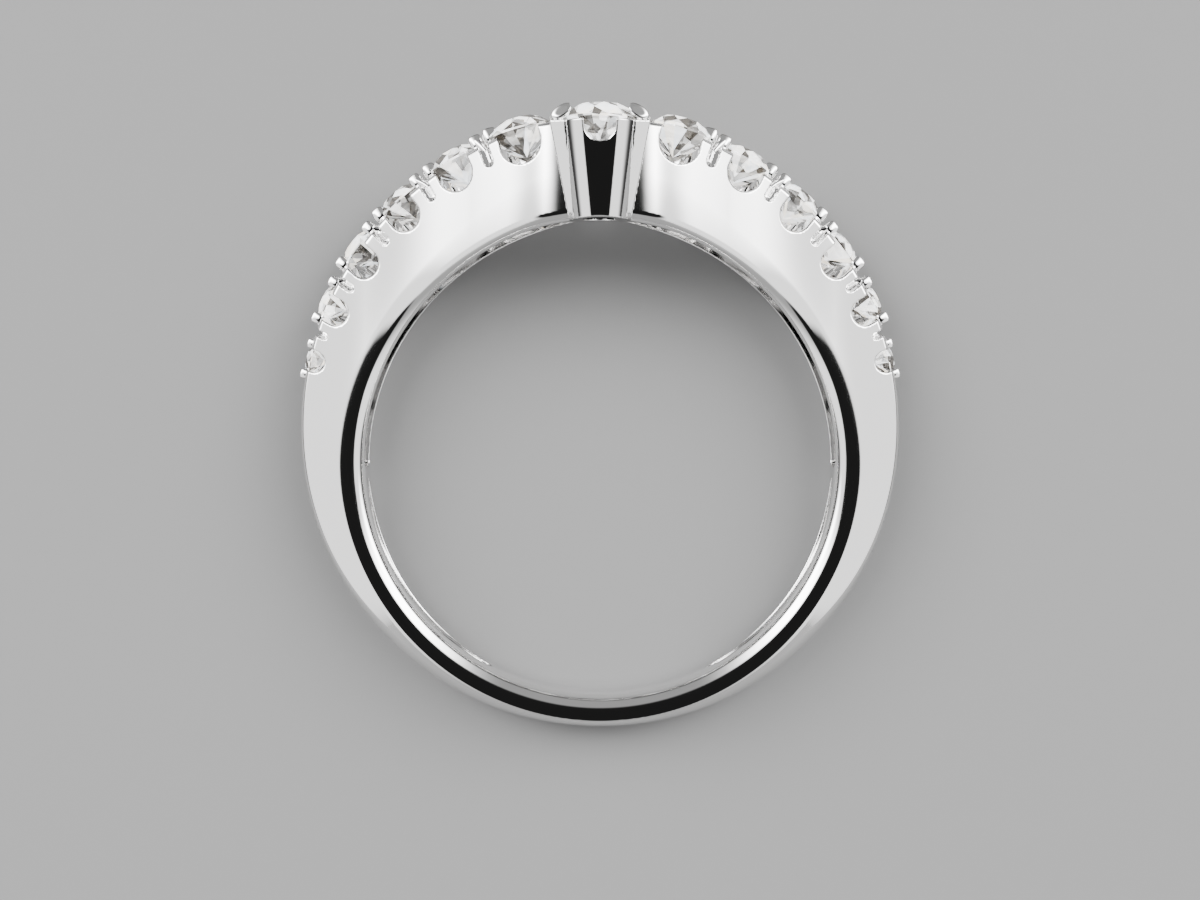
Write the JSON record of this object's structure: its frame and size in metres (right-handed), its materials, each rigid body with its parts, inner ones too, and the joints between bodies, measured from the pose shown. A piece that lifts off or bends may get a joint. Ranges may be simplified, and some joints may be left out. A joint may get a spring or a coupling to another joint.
{
  "type": "chevron ring",
  "caption": "Polished white-metal chevron finger ring lying on its side, with a collet-set centre brilliant and graduated brilliants down both scalloped arms.",
  "frame": {"origin": "on the finger's axis, level with the back of the shank that the ring lies on", "axes": "+Z along the finger towards the chevron's point, +Y towards the head with the centre stone, +X to the right arm"},
  "size_m": [0.0222, 0.0226, 0.0068],
  "materials": {
    "white_metal": "mirror-polished white gold",
    "stone": "colourless round brilliant"
  },
  "bodies": {
    "root": {"band": "white_metal", "center_stone": "stone", "left_stone_1": "stone", "left_stone_2": "stone", "left_stone_3": "stone", "left_stone_4": "stone", "left_stone_5": "stone", "left_stone_6": "stone", "right_stone_1": "stone", "right_stone_2": "stone", "right_stone_3": "stone", "right_stone_4": "stone", "right_stone_5": "stone", "right_stone_6": "stone"}
  },
  "joints": []
}
